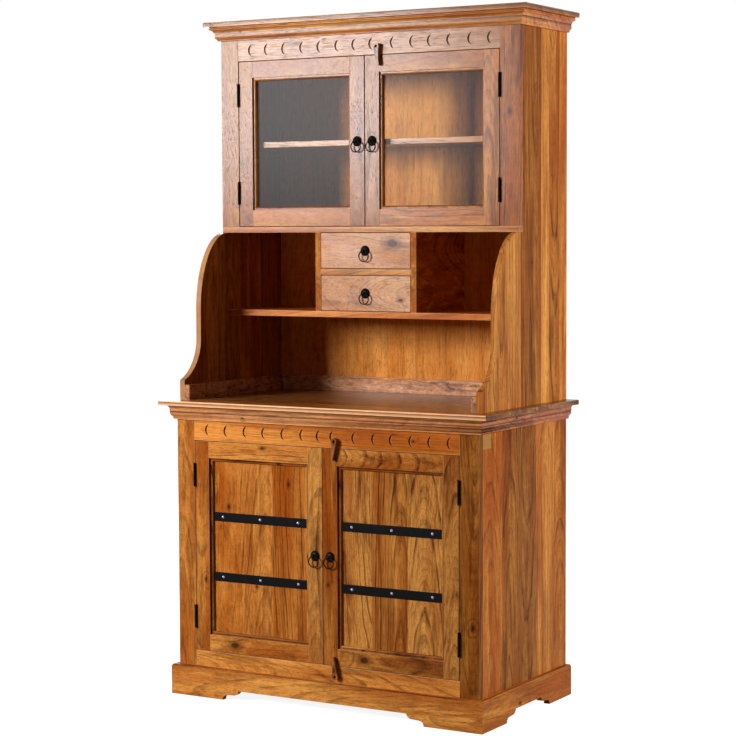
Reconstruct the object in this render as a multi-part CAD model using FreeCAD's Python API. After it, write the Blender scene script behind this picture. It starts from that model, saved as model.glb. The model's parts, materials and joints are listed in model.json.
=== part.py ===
import FreeCAD, Part
import math
import os

# A two-piece dresser: a base cupboard with two panelled doors on a bracket-foot plinth, and a
# hutch with two glazed doors over an open niche that holds two small drawers. Millimetres.
# X is the width, centred; Y is the depth, with the front towards -Y; Z is up from the floor.

Vector = FreeCAD.Vector

# ---------------------------------------------------------------- driving dimensions
# Carcase
body_width = 1018.0
base_depth = 560.0
hutch_depth = 312.0
side_thickness = 17.0
board_thickness = 17.0
back_thickness = 6.0
back_inset = 4.0
frame_thickness = 22.0
stile_width = 62.0

# Heights, from the floor up
plinth_height = 90.0
sill_height = 47.0
base_opening_height = 632.0
base_frieze_height = 104.0
counter_thickness = 14.0
worktop_clearance = 245.0
niche_shelf_thickness = 18.0
niche_height = 235.0
hutch_opening_height = 503.0
hutch_frieze_height = 105.0
cornice_thickness = 15.0

# Countertop and cornice board
counter_overhang = 41.0
cornice_overhang = 40.0
board_edge_radius = 4.0

# Moulding under the countertop: projections from the body, and the height of each member
counter_mould_lip = 27.0
counter_mould_cove = 16.8
counter_mould_cove_height = 15.5
counter_mould_fillet = 15.8
counter_mould_fillet_height = 6.0
counter_mould_foot = 8.5
counter_mould_ogee_height = 21.5

# Moulding under the cornice board, which has two reeds on its lip
crown_lip = 27.2
crown_lip_height = 9.0
crown_reed_depth = 2.2
crown_cove = 16.5
crown_cove_height = 9.0
crown_fillet = 14.2
crown_fillet_height = 9.0
crown_foot = 7.8
crown_ogee_height = 15.0

# Plinth with bracket feet
plinth_thickness = 18.0
plinth_edge_radius = 5.0
plinth_quirk = 1.5
carcase_foot = 32.0
foot_front_length = 186.0
foot_side_length = 152.0
foot_rear_length = 150.0
bracket_heel_length = 12.0
bracket_heel_height = 15.0
bracket_flat_length = 24.0
bracket_flat_rise = 2.0
bracket_toe_length = 20.0
bracket_toe_height = 14.0
foot_block_size = 45.0

# Hutch side: an S curve from the foot on the countertop up to the front of the hutch
hutch_foot_setback = 15.0
hutch_foot_height = 60.0
hutch_foot_nose = 3.0
hutch_cove_height = 123.0
hutch_shoulder_reach = 146.0

# Skirting on the countertop
skirting_thickness = 17.0
skirting_height = 45.0

# Niche
divider_thickness = 18.0
drawer_bay_width = 310.0
drawer_rail_thickness = 18.0

# Shelves, the cleats under them, the rail behind the countertop and the door stops
base_shelf_height = 286.0
base_shelf_setback = 60.0
hutch_shelf_height = 241.0
hutch_shelf_setback = 30.0
shelf_play = 0.4
cleat_height = 20.0
cleat_thickness = 15.0
cleat_inset = 25.0
rear_rail_height = 60.0
rear_rail_thickness = 18.0
stop_thickness = 10.0
stop_overlap = 12.0
stop_height = 30.0
stop_play = 0.3

# Mortise and tenon joints of the face frames and the doors
tenon_length = 30.0
tenon_thickness = 8.0
tenon_shoulder = 8.0
tenon_side_play = 0.1
tenon_end_play = 1.0

# Doors
door_thickness = 22.0
door_stile_width = 48.0
door_rail_width = 49.0
door_play = 2.0
door_meeting_gap = 3.0
hinge_gap = 2.6
bead_width = 10.0
bead_setback = 6.0
bead_thickness = 8.0
bead_radius = 5.0
rear_bead_width = 7.0
glass_thickness = 3.0
panel_thickness = 8.0
panel_play = 0.3

# Butt hinges
hinge_length = 70.0
hinge_inset = 101.0
hinge_leaf_depth = 18.0
hinge_leaf_thickness = 1.1
knuckle_radius = 3.5
knuckle_stand_off = 0.2
knuckle_gap = 0.2
pin_radius = 1.6
pin_play = 0.05

# Iron straps on the panelled doors
strap_height = 27.0
strap_thickness = 3.0
strap_end_play = 2.0
strap_spacing = 180.0
strap_nail_pitch = 132.0
strap_nail_head_radius = 4.5
strap_nail_head_height = 2.6
nail_shank_radius = 1.5
nail_shank_length = 9.0
nail_play = 0.05

# Ring pulls
rosette_radius = 15.5
rosette_rim_height = 1.2
rosette_rim_width = 1.6
rosette_height = 7.0
rosette_shank_radius = 2.5
rosette_shank_length = 13.0
eye_width = 4.4
eye_radius = 4.6
eye_reach = 9.6
eye_bore_radius = 2.1
ring_radius = 16.0
ring_wire_radius = 1.8

# Turn latches
latch_x = 47.0
hutch_latch_rise = 23.0
base_latch_rise = 20.4
sill_latch_drop = 28.0
latch_radius = 9.5
latch_reach = 56.0
latch_tip_radius = 3.0
latch_bulge = -2.0
latch_thickness = 14.0
latch_face_play = 0.4
latch_bore_play = 0.06
latch_nail_radius = 2.0
latch_nail_head_radius = 4.0
latch_nail_head_height = 2.5
latch_nail_depth = 14.0

# Crescents gouged along both friezes, spaced by hand: each place is a share of half the opening
crescent_height = 33.0
crescent_sagitta = 10.5
crescent_width = 7.0
crescent_depth = 4.0
crescent_rise = 32.0
hutch_crescents = [-0.905, -0.776, -0.637, -0.493, -0.357, -0.217, -0.086]
hutch_crescents += [0.044, 0.207, 0.352, 0.484, 0.626, 0.778, 0.919]
base_crescents = [-0.902, -0.754, -0.602, -0.456, -0.306, -0.161, -0.035]
base_crescents += [0.067, 0.232, 0.378, 0.507, 0.649, 0.784, 0.922]

# Drawers
drawer_play = 2.0
drawer_running_play = 0.4
drawer_front_thickness = 18.0
drawer_side_thickness = 10.0
drawer_side_height = 85.0
drawer_length = 270.0
drawer_bottom_thickness = 5.0
drawer_bottom_rise = 8.0
drawer_groove_depth = 4.0
drawer_groove_play = 0.1

# Flat facets of the small round pieces
hardware_sides = 8
rosette_sides = 12
ring_sides = 20
wire_sides = 8
dome_steps = 3
nail_dome_steps = 2
crescent_facets = 5

# ---------------------------------------------------------------- derived positions
counter_depth = base_depth + counter_overhang
back_y = counter_depth / 2
base_front = back_y - base_depth
hutch_front = back_y - hutch_depth
base_frame_back = base_front + frame_thickness
hutch_frame_back = hutch_front + frame_thickness
back_panel_front = back_y - back_inset - back_thickness
half_body = body_width / 2
inner_x = half_body - side_thickness
opening_x = half_body - stile_width

base_sill = plinth_height + sill_height
base_lintel = base_sill + base_opening_height
base_height = base_lintel + base_frieze_height
counter_top = base_height + counter_thickness
niche_shelf_bottom = counter_top + worktop_clearance
niche_bottom = niche_shelf_bottom + niche_shelf_thickness
niche_top = niche_bottom + niche_height
hutch_sill = niche_top + board_thickness
hutch_lintel = hutch_sill + hutch_opening_height
hutch_top = hutch_lintel + hutch_frieze_height

door_opening = {"base": (base_sill, base_lintel), "hutch": (hutch_sill, hutch_lintel)}
front_of = {"base": base_front, "hutch": hutch_front}
crescents_of = {"base": base_crescents, "hutch": hutch_crescents}
door_near_x = door_meeting_gap / 2
door_far_x = opening_x - hinge_gap
pull_x = door_near_x + door_stile_width / 2
pin_x = opening_x - hinge_gap / 2
pin_stand_off = knuckle_radius + knuckle_stand_off

bay_x = drawer_bay_width / 2
bay_height = (niche_height - drawer_rail_thickness) / 2
drawer_bay_bottom = {"lower": niche_bottom, "upper": niche_bottom + bay_height + drawer_rail_thickness}

latch_pivots = {
    "hutch": hutch_lintel + hutch_latch_rise,
    "base": base_lintel + base_latch_rise,
    "sill": base_sill - sill_latch_drop,
}

DIAGONAL = math.sqrt(0.5)
mitre_margin = 1.0
X_AXIS = Vector(1, 0, 0)
Y_AXIS = Vector(0, 1, 0)
Z_AXIS = Vector(0, 0, 1)


# ---------------------------------------------------------------- outlines and basic solids
def to(u, v):
    """A straight move of an outline."""
    return "line", [(u, v)]


def arc_to(through, end):
    """A circular move of an outline."""
    return "arc", [through, end]


def round_to(corner, end):
    """A quarter round or hollow that turns at the corner."""
    return "round", [corner, end]


def ellipse_to(corner, end):
    """A quarter of an ellipse, tangent to the sides that meet at the corner."""
    return "ellipse", [corner, end]


def edge(kind, points):
    """One edge of an outline."""
    if kind == "ellipse":
        curve = Part.BezierCurve()
        curve.setPoles(points)
        curve.setWeight(2, DIAGONAL)
        return curve.toShape()
    if kind == "round":
        start, corner, end = points
        centre = start + end - corner
        points = [start, centre + (corner - centre) * DIAGONAL, end]
    if kind == "line":
        return Part.makeLine(*points)
    return Part.Arc(*points).toShape()


def outline(start, moves, place):
    """A closed wire from a start and its moves, with place(u, v) giving each point in space."""
    first = place(*start)
    here = first
    edges = []
    for kind, points in moves:
        placed = [place(*point) for point in points]
        edges.append(edge(kind, [here] + placed))
        here = placed[-1]
    if not here.isEqual(first, 1e-6):
        edges.append(Part.makeLine(here, first))
    return Part.Wire(edges)


def prism(start, moves, place, sweep):
    """An outline swept straight along a vector."""
    return Part.Face(outline(start, moves, place)).extrude(sweep)


def polygon(centre, u_axis, v_axis, radius, sides):
    """The corners of a regular polygon, with a flat square to each axis."""
    angles = [math.tau * (index + 0.5) / sides for index in range(sides)]
    return [centre + u_axis * (radius * math.cos(a)) + v_axis * (radius * math.sin(a)) for a in angles]


def bar(radius, base, u_axis, v_axis, length):
    """A round bar with flat facets inside its radius; it runs from its base along a vector."""
    corners = polygon(base, u_axis, v_axis, radius, hardware_sides)
    return Part.Face(Part.makePolygon(corners + corners[:1])).extrude(length)


def bore(radius, base, u_axis, v_axis, length):
    """What a bore takes out: like a bar, but with its facets outside the radius."""
    return bar(radius / math.cos(math.pi / hardware_sides), base, u_axis, v_axis, length)


def facets(near, far):
    """The flat facets between two loops of points, either of which may be a single place."""
    faces = []
    for index in range(len(near)):
        corners = [near[index], near[index - 1], far[index - 1], far[index]]
        pairs = zip(corners, corners[-1:] + corners)
        distinct = [here for here, last in pairs if not here.isEqual(last, 1e-6)]
        faces.append(Part.Face(Part.makePolygon(distinct + distinct[:1])))
    return faces


def turned(profile, sides, x, y, z):
    """A piece turned about an axis along Y, from (radius, height above the face at y) pairs."""
    loops = [polygon(Vector(x, y - height, z), X_AXIS, Z_AXIS, radius, sides) for radius, height in profile]
    faces = [face for near, far in zip(loops, loops[1:]) for face in facets(near, far)]
    return Part.Solid(Part.Shell(faces)).removeSplitter()


def dome(radius, base, height, steps):
    """The (radius, height) pairs of a dome, from its crown down to its edge."""
    angles = [math.pi / 2 * index / steps for index in range(steps + 1)]
    return [(radius * math.sin(a), base + height * math.cos(a)) for a in angles]


def mitred_strip(start, moves, near, far):
    """A strip of one profile between two corners, cut to the mitre at each."""
    points = [start] + [point for _, group in moves for point in group]
    reach = max(u for u, v in points) + mitre_margin
    low = min(v for u, v in points) - mitre_margin
    high = max(v for u, v in points) + mitre_margin
    run = far(0, low) - near(0, low)
    along = Vector(run).normalize()
    bounds = [near(-mitre_margin, low), near(reach, low), far(reach, low), far(-mitre_margin, low)]
    wedge = Part.Face(Part.makePolygon(bounds + bounds[:1])).extrude(near(0, high) - near(0, low))
    stock_end = near(0, low) - along * reach

    def square(u, v):
        return near(u, v) + along * (stock_end - near(u, v)).dot(along)

    return prism(start, moves, square, run + along * (2 * reach)).common(wedge)


def mitred_run(start, moves, corners):
    """Strips of one profile from corner to corner, mitred where they meet."""
    return [mitred_strip(start, moves, near, far) for near, far in zip(corners, corners[1:])]


def board(x, y, z):
    """A square-edged board between three pairs of coordinates."""
    return Part.makeBox(x[1] - x[0], y[1] - y[0], z[1] - z[0], Vector(x[0], y[0], z[0]))


def hole(radius, y, x, z):
    """What a hole along Y takes out, between a pair of Y coordinates."""
    return bore(radius, Vector(x, y[0], z), X_AXIS, Z_AXIS, Y_AXIS * (y[1] - y[0]))


def mirrored(shape):
    """The same piece on the other side of the dresser."""
    return shape.mirror(Vector(0, 0, 0), X_AXIS)


def fused(first, *others):
    """One solid from pieces that share faces."""
    return first.fuse(list(others)).removeSplitter()


def ease_edges(slab, top):
    """Round the top edges of a slab at its front and ends."""
    front = slab.BoundBox.YMin
    ends = (slab.BoundBox.XMin, slab.BoundBox.XMax)
    chosen = []
    for candidate in slab.Edges:
        middle = candidate.CenterOfMass
        on_front = abs(middle.y - front) < 1e-6
        on_end = min(abs(middle.x - end) for end in ends) < 1e-6
        if abs(middle.z - top) < 1e-6 and (on_front or on_end):
            chosen.append(candidate)
    return slab.makeFillet(board_edge_radius, chosen)


def save(name, *pieces):
    """Write one node, with each of its pieces as a solid of its own."""
    shape = pieces[0] if len(pieces) == 1 else Part.makeCompound(list(pieces))
    shape.exportStep(f"parts/{name}.step")


# ---------------------------------------------------------------- joinery
def tenons(x, front, thickness, z, side_play=0.0, end_play=0.0):
    """The tenons at both ends of a rail that spans x, or with play the mortises for them."""
    centre = front + thickness / 2
    y = (centre - tenon_thickness / 2 - side_play, centre + tenon_thickness / 2 + side_play)
    height = (z[0] + tenon_shoulder - side_play, z[1] - tenon_shoulder + side_play)
    length = tenon_length + end_play
    return [board((x[0] - length, x[0]), y, height), board((x[1], x[1] + length), y, height)]


def tenoned_rail(x, front, thickness, z):
    """A rail between shoulders, with a tenon at each end."""
    rail = board(x, (front, front + thickness), z)
    return fused(rail, *tenons(x, front, thickness, z))


def mortised(stile, x, front, thickness, rails):
    """A stile with the mortises for the rails that span x."""
    for z in rails:
        for mortise in tenons(x, front, thickness, z, tenon_side_play, tenon_end_play):
            stile = stile.cut(mortise)
    return stile


def face_stiles(front, z, rails):
    """The two stiles of a face frame."""
    stile = board((opening_x, half_body), (front, front + frame_thickness), z)
    stile = mortised(stile, (-opening_x, opening_x), front, frame_thickness, rails)
    return mirrored(stile), stile


def face_rail(front, z):
    """A rail of a face frame."""
    return tenoned_rail((-opening_x, opening_x), front, frame_thickness, z)


def latch_nail_hole(front, z):
    """The hole that a latch nail is driven into."""
    return hole(latch_nail_radius + nail_play, (front, front + latch_nail_depth), latch_x, z)


# ---------------------------------------------------------------- friezes
def bow(x, z, sagitta):
    """Points down an arc that bows towards -X from the crescent's two horns."""
    half = crescent_height / 2
    radius = (half**2 + sagitta**2) / (2 * sagitta)
    reach = math.asin(half / radius)
    angles = [reach * (1 - 2 * index / crescent_facets) for index in range(crescent_facets + 1)]
    horn_x = x + crescent_sagitta / 2
    return [(horn_x - sagitta + radius * (1 - math.cos(a)), z + radius * math.sin(a)) for a in angles]


def crescent(x, front, z):
    """The wood that one crescent takes out."""
    outer = bow(x, z, crescent_sagitta)
    inner = bow(x, z, crescent_sagitta - crescent_width)
    moves = [to(*point) for point in outer[1:] + inner[-2:0:-1]]
    return prism(outer[0], moves, lambda u, v: Vector(u, front, v), Y_AXIS * crescent_depth)


def frieze_rail(unit, top):
    """A frieze with its row of crescents and the hole for its latch nail."""
    front = front_of[unit]
    lintel = door_opening[unit][1]
    rail = face_rail(front, (lintel, top))
    cuts = [crescent(share * opening_x, front, lintel + crescent_rise) for share in crescents_of[unit]]
    cuts.append(latch_nail_hole(front, latch_pivots[unit]))
    return rail.cut(cuts)


# ---------------------------------------------------------------- base
def build_base():
    """Sides, face frame, floor, shelf, back and rear rail of the base cupboard."""
    between_sides = (-inner_x, inner_x)
    side = board((inner_x, half_body), (base_frame_back, back_y), (carcase_foot, base_height))
    save("base_side_left", mirrored(side))
    save("base_side_right", side)
    sill_z = (carcase_foot, base_sill)
    frieze_z = (base_lintel, base_height)
    save("base_stiles", *face_stiles(base_front, (carcase_foot, base_height), [sill_z, frieze_z]))
    save("base_frieze_rail", frieze_rail("base", base_height))
    sill_rail = face_rail(base_front, sill_z)
    save("base_bottom_rail", sill_rail.cut(latch_nail_hole(base_front, latch_pivots["sill"])))
    floor_bottom = base_sill - board_thickness
    save("base_floor", board(between_sides, (base_frame_back, back_panel_front), (floor_bottom, base_sill)))
    shelf_z = base_sill + base_shelf_height
    shelf_x = (-inner_x + shelf_play, inner_x - shelf_play)
    shelf_y = (base_frame_back + base_shelf_setback, back_panel_front)
    save("base_shelf", board(shelf_x, shelf_y, (shelf_z, shelf_z + board_thickness)))
    back_y_range = (back_panel_front, back_panel_front + back_thickness)
    save("base_back", board(between_sides, back_y_range, (floor_bottom, base_height)))
    rail_y = (back_panel_front - rear_rail_thickness, back_panel_front)
    save("base_rear_rail", board(between_sides, rail_y, (base_height - rear_rail_height, base_height)))


def body_corner(x_side, y, step):
    """Where a moulding of the given projection and height turns or ends round the body."""
    return lambda out, z: Vector(x_side * (half_body + out), y - step * out, z)


def wrapped(start, moves, front):
    """A profile of (projection, z) run round the left side, the front and the right side."""
    corners = [
        body_corner(-1, back_y, 0),
        body_corner(-1, front, 1),
        body_corner(1, front, 1),
        body_corner(1, back_y, 0),
    ]
    return mitred_run(start, moves, corners)


def bracket_gap(start, end, place, sweep):
    """The gap under a plinth board between two bracket feet that end at start and end."""
    heel = bracket_heel_length
    flat = heel + bracket_flat_length
    toe = flat + bracket_toe_length
    low = bracket_heel_height
    mid = low + bracket_flat_rise
    high = mid + bracket_toe_height
    moves = [
        round_to((start, low), (start + heel, low)),
        to(start + flat, mid),
        round_to((start + toe, mid), (start + toe, high)),
        to(end - toe, high),
        round_to((end - toe, mid), (end - flat, mid)),
        to(end - heel, low),
        round_to((end, low), (end, 0)),
    ]
    return prism((start, 0), moves, place, sweep)


def build_plinth():
    """Three mitred plinth boards on bracket feet, and the blocks that carry the corners."""
    edge_z = plinth_height - plinth_edge_radius
    edge_out = plinth_thickness - plinth_quirk
    moves = [
        to(plinth_thickness, 0),
        to(plinth_thickness, edge_z),
        to(edge_out, edge_z),
        round_to((edge_out, plinth_height), (edge_out - plinth_edge_radius, plinth_height)),
        to(0, plinth_height),
    ]
    left, front, right = wrapped((0, 0), moves, base_front)
    outer_x = half_body + plinth_thickness
    outer_y = base_front - plinth_thickness
    front_gap = bracket_gap(
        foot_front_length - outer_x,
        outer_x - foot_front_length,
        lambda u, v: Vector(u, outer_y, v),
        Vector(0, plinth_thickness, 0),
    )
    side_gap = bracket_gap(
        outer_y + foot_side_length,
        back_y - foot_rear_length,
        lambda u, v: Vector(-outer_x, u, v),
        Vector(2 * outer_x, 0, 0),
    )
    save("plinth_front", front.cut(front_gap))
    save("plinth_sides", left.cut(side_gap), right.cut(side_gap))
    block_x = (half_body - foot_block_size, half_body)
    blocks = [
        board(block_x, (base_front, base_front + foot_block_size), (0, carcase_foot)),
        board(block_x, (back_y - foot_block_size, back_y), (0, carcase_foot)),
    ]
    save("plinth_blocks", *blocks, *[mirrored(block) for block in blocks])


def build_counter():
    """The countertop and the moulding below it."""
    counter_x = half_body + counter_overhang
    slab = board((-counter_x, counter_x), (base_front - counter_overhang, back_y), (base_height, counter_top))
    save("countertop", ease_edges(slab, counter_top))
    cove_z = base_height - counter_mould_cove_height
    fillet_z = cove_z - counter_mould_fillet_height
    foot_z = fillet_z - counter_mould_ogee_height
    moves = [
        to(counter_mould_lip, base_height),
        round_to((counter_mould_cove, base_height), (counter_mould_cove, cove_z)),
        to(counter_mould_fillet, fillet_z),
        *ogee(counter_mould_fillet, fillet_z, counter_mould_foot, foot_z),
        to(0, foot_z),
    ]
    save("counter_moulding", *wrapped((0, base_height), moves, base_front))


def ogee(top_out, top_z, foot_out, foot_z):
    """The two moves of an ogee: round above and hollow below."""
    middle = ((top_out + foot_out) / 2, (top_z + foot_z) / 2)
    return [round_to((top_out, middle[1]), middle), round_to((foot_out, middle[1]), (foot_out, foot_z))]


# ---------------------------------------------------------------- hutch
def hutch_side():
    """The right side of the hutch, with its S-curved front edge below the doors."""
    foot_y = base_front + hutch_foot_setback
    nose_y = foot_y + hutch_foot_nose
    foot_top = counter_top + hutch_foot_height
    waist_y = hutch_front - hutch_shoulder_reach
    cove_top = foot_top + hutch_cove_height
    cove_depth = waist_y - nose_y
    radius = (cove_depth**2 + hutch_cove_height**2) / (2 * cove_depth)
    half_turn = math.asin(hutch_cove_height / radius) / 2
    middle = (waist_y - radius * (1 - math.cos(half_turn)), cove_top - radius * math.sin(half_turn))
    moves = [
        to(foot_y, foot_top - hutch_foot_nose),
        round_to((foot_y, foot_top), (nose_y, foot_top)),
        arc_to(middle, (waist_y, cove_top)),
        to(waist_y, niche_bottom),
        ellipse_to((waist_y, niche_top), (hutch_front, niche_top)),
        to(hutch_frame_back, niche_top),
        to(hutch_frame_back, hutch_top),
        to(back_y, hutch_top),
        to(back_y, counter_top),
    ]
    sweep = Vector(side_thickness, 0, 0)
    return prism((foot_y, counter_top), moves, lambda u, v: Vector(inner_x, u, v), sweep)


def build_hutch():
    """Sides, face frame, floor, shelf and back of the hutch."""
    between_sides = (-inner_x, inner_x)
    side = hutch_side()
    save("hutch_side_left", mirrored(side))
    save("hutch_side_right", side)
    frieze_z = (hutch_lintel, hutch_top)
    save("hutch_stiles", *face_stiles(hutch_front, (hutch_sill, hutch_top), [frieze_z]))
    save("hutch_frieze_rail", frieze_rail("hutch", hutch_top))
    rail_x = (-half_body, half_body)
    save("hutch_bottom_rail", board(rail_x, (hutch_front, hutch_frame_back), (niche_top, hutch_sill)))
    save("hutch_floor", board(between_sides, (hutch_frame_back, back_panel_front), (niche_top, hutch_sill)))
    shelf_z = hutch_sill + hutch_shelf_height
    shelf_x = (-inner_x + shelf_play, inner_x - shelf_play)
    shelf_y = (hutch_front + hutch_shelf_setback, back_panel_front)
    save("hutch_shelf", board(shelf_x, shelf_y, (shelf_z, shelf_z + board_thickness)))
    back_y_range = (back_panel_front, back_panel_front + back_thickness)
    save("hutch_back", board(between_sides, back_y_range, (counter_top, hutch_top)))


def build_niche():
    """Skirting, niche shelf, dividers and the rail between the drawers."""
    niche_y = (hutch_front, back_panel_front)
    skirting_z = (counter_top, counter_top + skirting_height)
    skirting_back = back_panel_front - skirting_thickness
    end_x = (inner_x - skirting_thickness, inner_x)
    end_strip = board(end_x, (base_front + hutch_foot_setback, skirting_back), skirting_z)
    back_strip = board((-inner_x, inner_x), (skirting_back, back_panel_front), skirting_z)
    save("counter_skirting", mirrored(end_strip), end_strip, back_strip)
    save("niche_shelf", board((-inner_x, inner_x), niche_y, (niche_shelf_bottom, niche_bottom)))
    divider = board((bay_x, bay_x + divider_thickness), niche_y, (niche_bottom, niche_top))
    save("niche_dividers", mirrored(divider), divider)
    rail_z = niche_bottom + bay_height
    save("drawer_rail", board((-bay_x, bay_x), niche_y, (rail_z, rail_z + drawer_rail_thickness)))


def build_cornice():
    """The cornice board and the moulding below it."""
    cornice_x = half_body + cornice_overhang
    top = hutch_top + cornice_thickness
    slab = board((-cornice_x, cornice_x), (hutch_front - cornice_overhang, back_y), (hutch_top, top))
    save("cornice_board", ease_edges(slab, top))
    reed = crown_lip_height / 2
    crest = crown_lip - crown_reed_depth
    lip_z = hutch_top - crown_lip_height
    cove_z = lip_z - crown_cove_height
    fillet_z = cove_z - crown_fillet_height
    foot_z = fillet_z - crown_ogee_height
    moves = [to(crest, hutch_top)]
    for index in range(2):
        start_z = hutch_top - index * reed
        middle_z = start_z - reed / 2
        moves.append(round_to((crown_lip, start_z), (crown_lip, middle_z)))
        moves.append(round_to((crown_lip, start_z - reed), (crest, start_z - reed)))
    moves += [
        round_to((crown_cove, lip_z), (crown_cove, cove_z)),
        to(crown_fillet, cove_z),
        to(crown_fillet, fillet_z),
        *ogee(crown_fillet, fillet_z, crown_foot, foot_z),
        to(0, foot_z),
    ]
    save("cornice_moulding", *wrapped((0, hutch_top), moves, hutch_front))


def build_cleats_and_stops():
    """Cleats that carry the shelves, and strips that the doors close against."""
    cleat_x = (inner_x - cleat_thickness, inner_x)
    base_shelf_z = base_sill + base_shelf_height
    hutch_shelf_z = hutch_sill + hutch_shelf_height
    base_cleat_y = (base_frame_back + base_shelf_setback + cleat_inset, back_panel_front - cleat_inset)
    hutch_cleat_y = (hutch_front + hutch_shelf_setback + cleat_inset, back_panel_front - cleat_inset)
    base_cleat = board(cleat_x, base_cleat_y, (base_shelf_z - cleat_height, base_shelf_z))
    hutch_cleat = board(cleat_x, hutch_cleat_y, (hutch_shelf_z - cleat_height, hutch_shelf_z))
    pieces = [base_cleat, mirrored(base_cleat), hutch_cleat, mirrored(hutch_cleat)]
    for unit in ("base", "hutch"):
        stop_front = front_of[unit] + max(frame_thickness, door_thickness) + stop_play
        stop_bottom = door_opening[unit][1] - door_play - stop_overlap
        stop_y = (stop_front, stop_front + stop_thickness)
        pieces.append(board((-opening_x, opening_x), stop_y, (stop_bottom, stop_bottom + stop_height)))
    save("cleats_and_stops", *pieces)


# ---------------------------------------------------------------- doors
def door_z(unit):
    """The height range of the doors of a unit."""
    sill, lintel = door_opening[unit]
    return sill + door_play, lintel - door_play


def door_frame_pieces(unit):
    """Stiles and rails of a right-hand door, joined by mortises and tenons."""
    front = front_of[unit]
    bottom, top = door_z(unit)
    inner = (door_near_x + door_stile_width, door_far_x - door_stile_width)
    rails = [(bottom, bottom + door_rail_width), (top - door_rail_width, top)]
    thickness = (front, front + door_thickness)
    near = board((door_near_x, inner[0]), thickness, (bottom, top))
    far = board((inner[1], door_far_x), thickness, (bottom, top))
    near = mortised(near, inner, front, door_thickness, rails)
    far = mortised(far, inner, front, door_thickness, rails)
    near = near.cut(rosette_hole(pull_x, front, (bottom + top) / 2))
    return [near, far] + [tenoned_rail(inner, front, door_thickness, z) for z in rails]


def door_light(unit):
    """The opening inside the stiles and rails of a right-hand door, as X and Z ranges."""
    bottom, top = door_z(unit)
    x = (door_near_x + door_stile_width, door_far_x - door_stile_width)
    return x, (bottom + door_rail_width, top - door_rail_width)


def beads(unit, start, moves):
    """Four mitred beads round a door's opening, from a profile of (inward, behind the face)."""
    (left, right), (bottom, top) = door_light(unit)
    front = front_of[unit]
    corners = [
        lambda inward, behind: Vector(left + inward, front + behind, bottom + inward),
        lambda inward, behind: Vector(right - inward, front + behind, bottom + inward),
        lambda inward, behind: Vector(right - inward, front + behind, top - inward),
        lambda inward, behind: Vector(left + inward, front + behind, top - inward),
    ]
    return mitred_run(start, moves, corners + corners[:1])


def front_beads(unit):
    """The rounded beads that frame the panel or the glass."""
    back = bead_setback + bead_thickness
    moves = [
        to(bead_width - bead_radius, bead_setback),
        round_to((bead_width, bead_setback), (bead_width, bead_setback + bead_radius)),
        to(bead_width, back),
        to(0, back),
    ]
    return beads(unit, (0, bead_setback), moves)


def rear_beads():
    """The square beads that hold the glass from behind."""
    glass_back = bead_setback + bead_thickness + glass_thickness
    moves = [
        to(rear_bead_width, glass_back),
        to(rear_bead_width, door_thickness),
        to(0, door_thickness),
    ]
    return beads("hutch", (0, glass_back), moves)


def pane(unit, thickness):
    """The glass or panel that lies behind the front beads."""
    (left, right), (bottom, top) = door_light(unit)
    front = front_of[unit] + bead_setback + bead_thickness
    x = (left + panel_play, right - panel_play)
    return board(x, (front, front + thickness), (bottom + panel_play, top - panel_play))


def hinge_heights(unit):
    """Centres of a door's two hinges."""
    bottom, top = door_z(unit)
    return bottom + hinge_inset, top - hinge_inset


def knuckle_ranges(centre):
    """Height ranges of a hinge's three knuckles, with a running gap between them."""
    length = hinge_length / 3
    low = centre - hinge_length / 2
    gap = knuckle_gap / 2
    return [
        (low, low + length - gap),
        (low + length + gap, low + 2 * length - gap),
        (low + 2 * length + gap, low + hinge_length),
    ]


def pin_base(unit, z):
    """A point on the axis of a right-hand hinge pin."""
    return Vector(pin_x, front_of[unit] - pin_stand_off, z)


def barrel(unit, radius, z):
    """A round bar on the axis of a right-hand hinge pin."""
    return bar(radius, pin_base(unit, z[0]), X_AXIS, Y_AXIS, Z_AXIS * (z[1] - z[0]))


def leaf(unit, x, centre, knuckles):
    """A hinge leaf with its knuckles, which reach forward to the pin."""
    front = front_of[unit]
    height = (centre - hinge_length / 2, centre + hinge_length / 2)
    plate = board(x, (front, front + hinge_leaf_depth), height)
    necks = [board(x, (front - pin_stand_off, front), z) for z in knuckles]
    barrels = [barrel(unit, knuckle_radius, z) for z in knuckles]
    return fused(plate, *necks, *barrels)


def frame_hinge(unit, centre):
    """The half of a hinge on the face frame, with its pin."""
    low, _, high = knuckle_ranges(centre)
    half = leaf(unit, (opening_x - hinge_leaf_thickness, opening_x), centre, [low, high])
    return fused(half, barrel(unit, pin_radius, (low[0], high[1])))


def door_hinge(unit, centre):
    """The half of a hinge on the door, bored for the pin."""
    low, middle, _ = knuckle_ranges(centre)
    half = leaf(unit, (door_far_x, door_far_x + hinge_leaf_thickness), centre, [middle])
    foot, length = pin_base(unit, low[0]), Z_AXIS * hinge_length
    return half.cut(bore(pin_radius + pin_play, foot, X_AXIS, Y_AXIS, length))


def build_frame_hinges():
    """The frame halves of all eight hinges."""
    halves = [frame_hinge(unit, z) for unit in ("base", "hutch") for z in hinge_heights(unit)]
    save("hinge_frame_leaves", *halves, *[mirrored(half) for half in halves])


def nail(x, y, z, head_radius, head_height, shank_radius, shank_length):
    """A domed nail whose head sits on the face at y."""
    profile = dome(head_radius, 0, head_height, nail_dome_steps)
    profile += [(shank_radius, 0), (shank_radius, -shank_length), (0, -shank_length)]
    return turned(profile, hardware_sides, x, y, z)


def strap_positions():
    """Heights of the straps and the X of their nails on a right-hand panelled door."""
    middle_x = (door_near_x + door_far_x) / 2
    middle_z = sum(door_z("base")) / 2
    heights = (middle_z - strap_spacing / 2, middle_z + strap_spacing / 2)
    nails = (middle_x - strap_nail_pitch, middle_x, middle_x + strap_nail_pitch)
    return heights, nails


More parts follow.
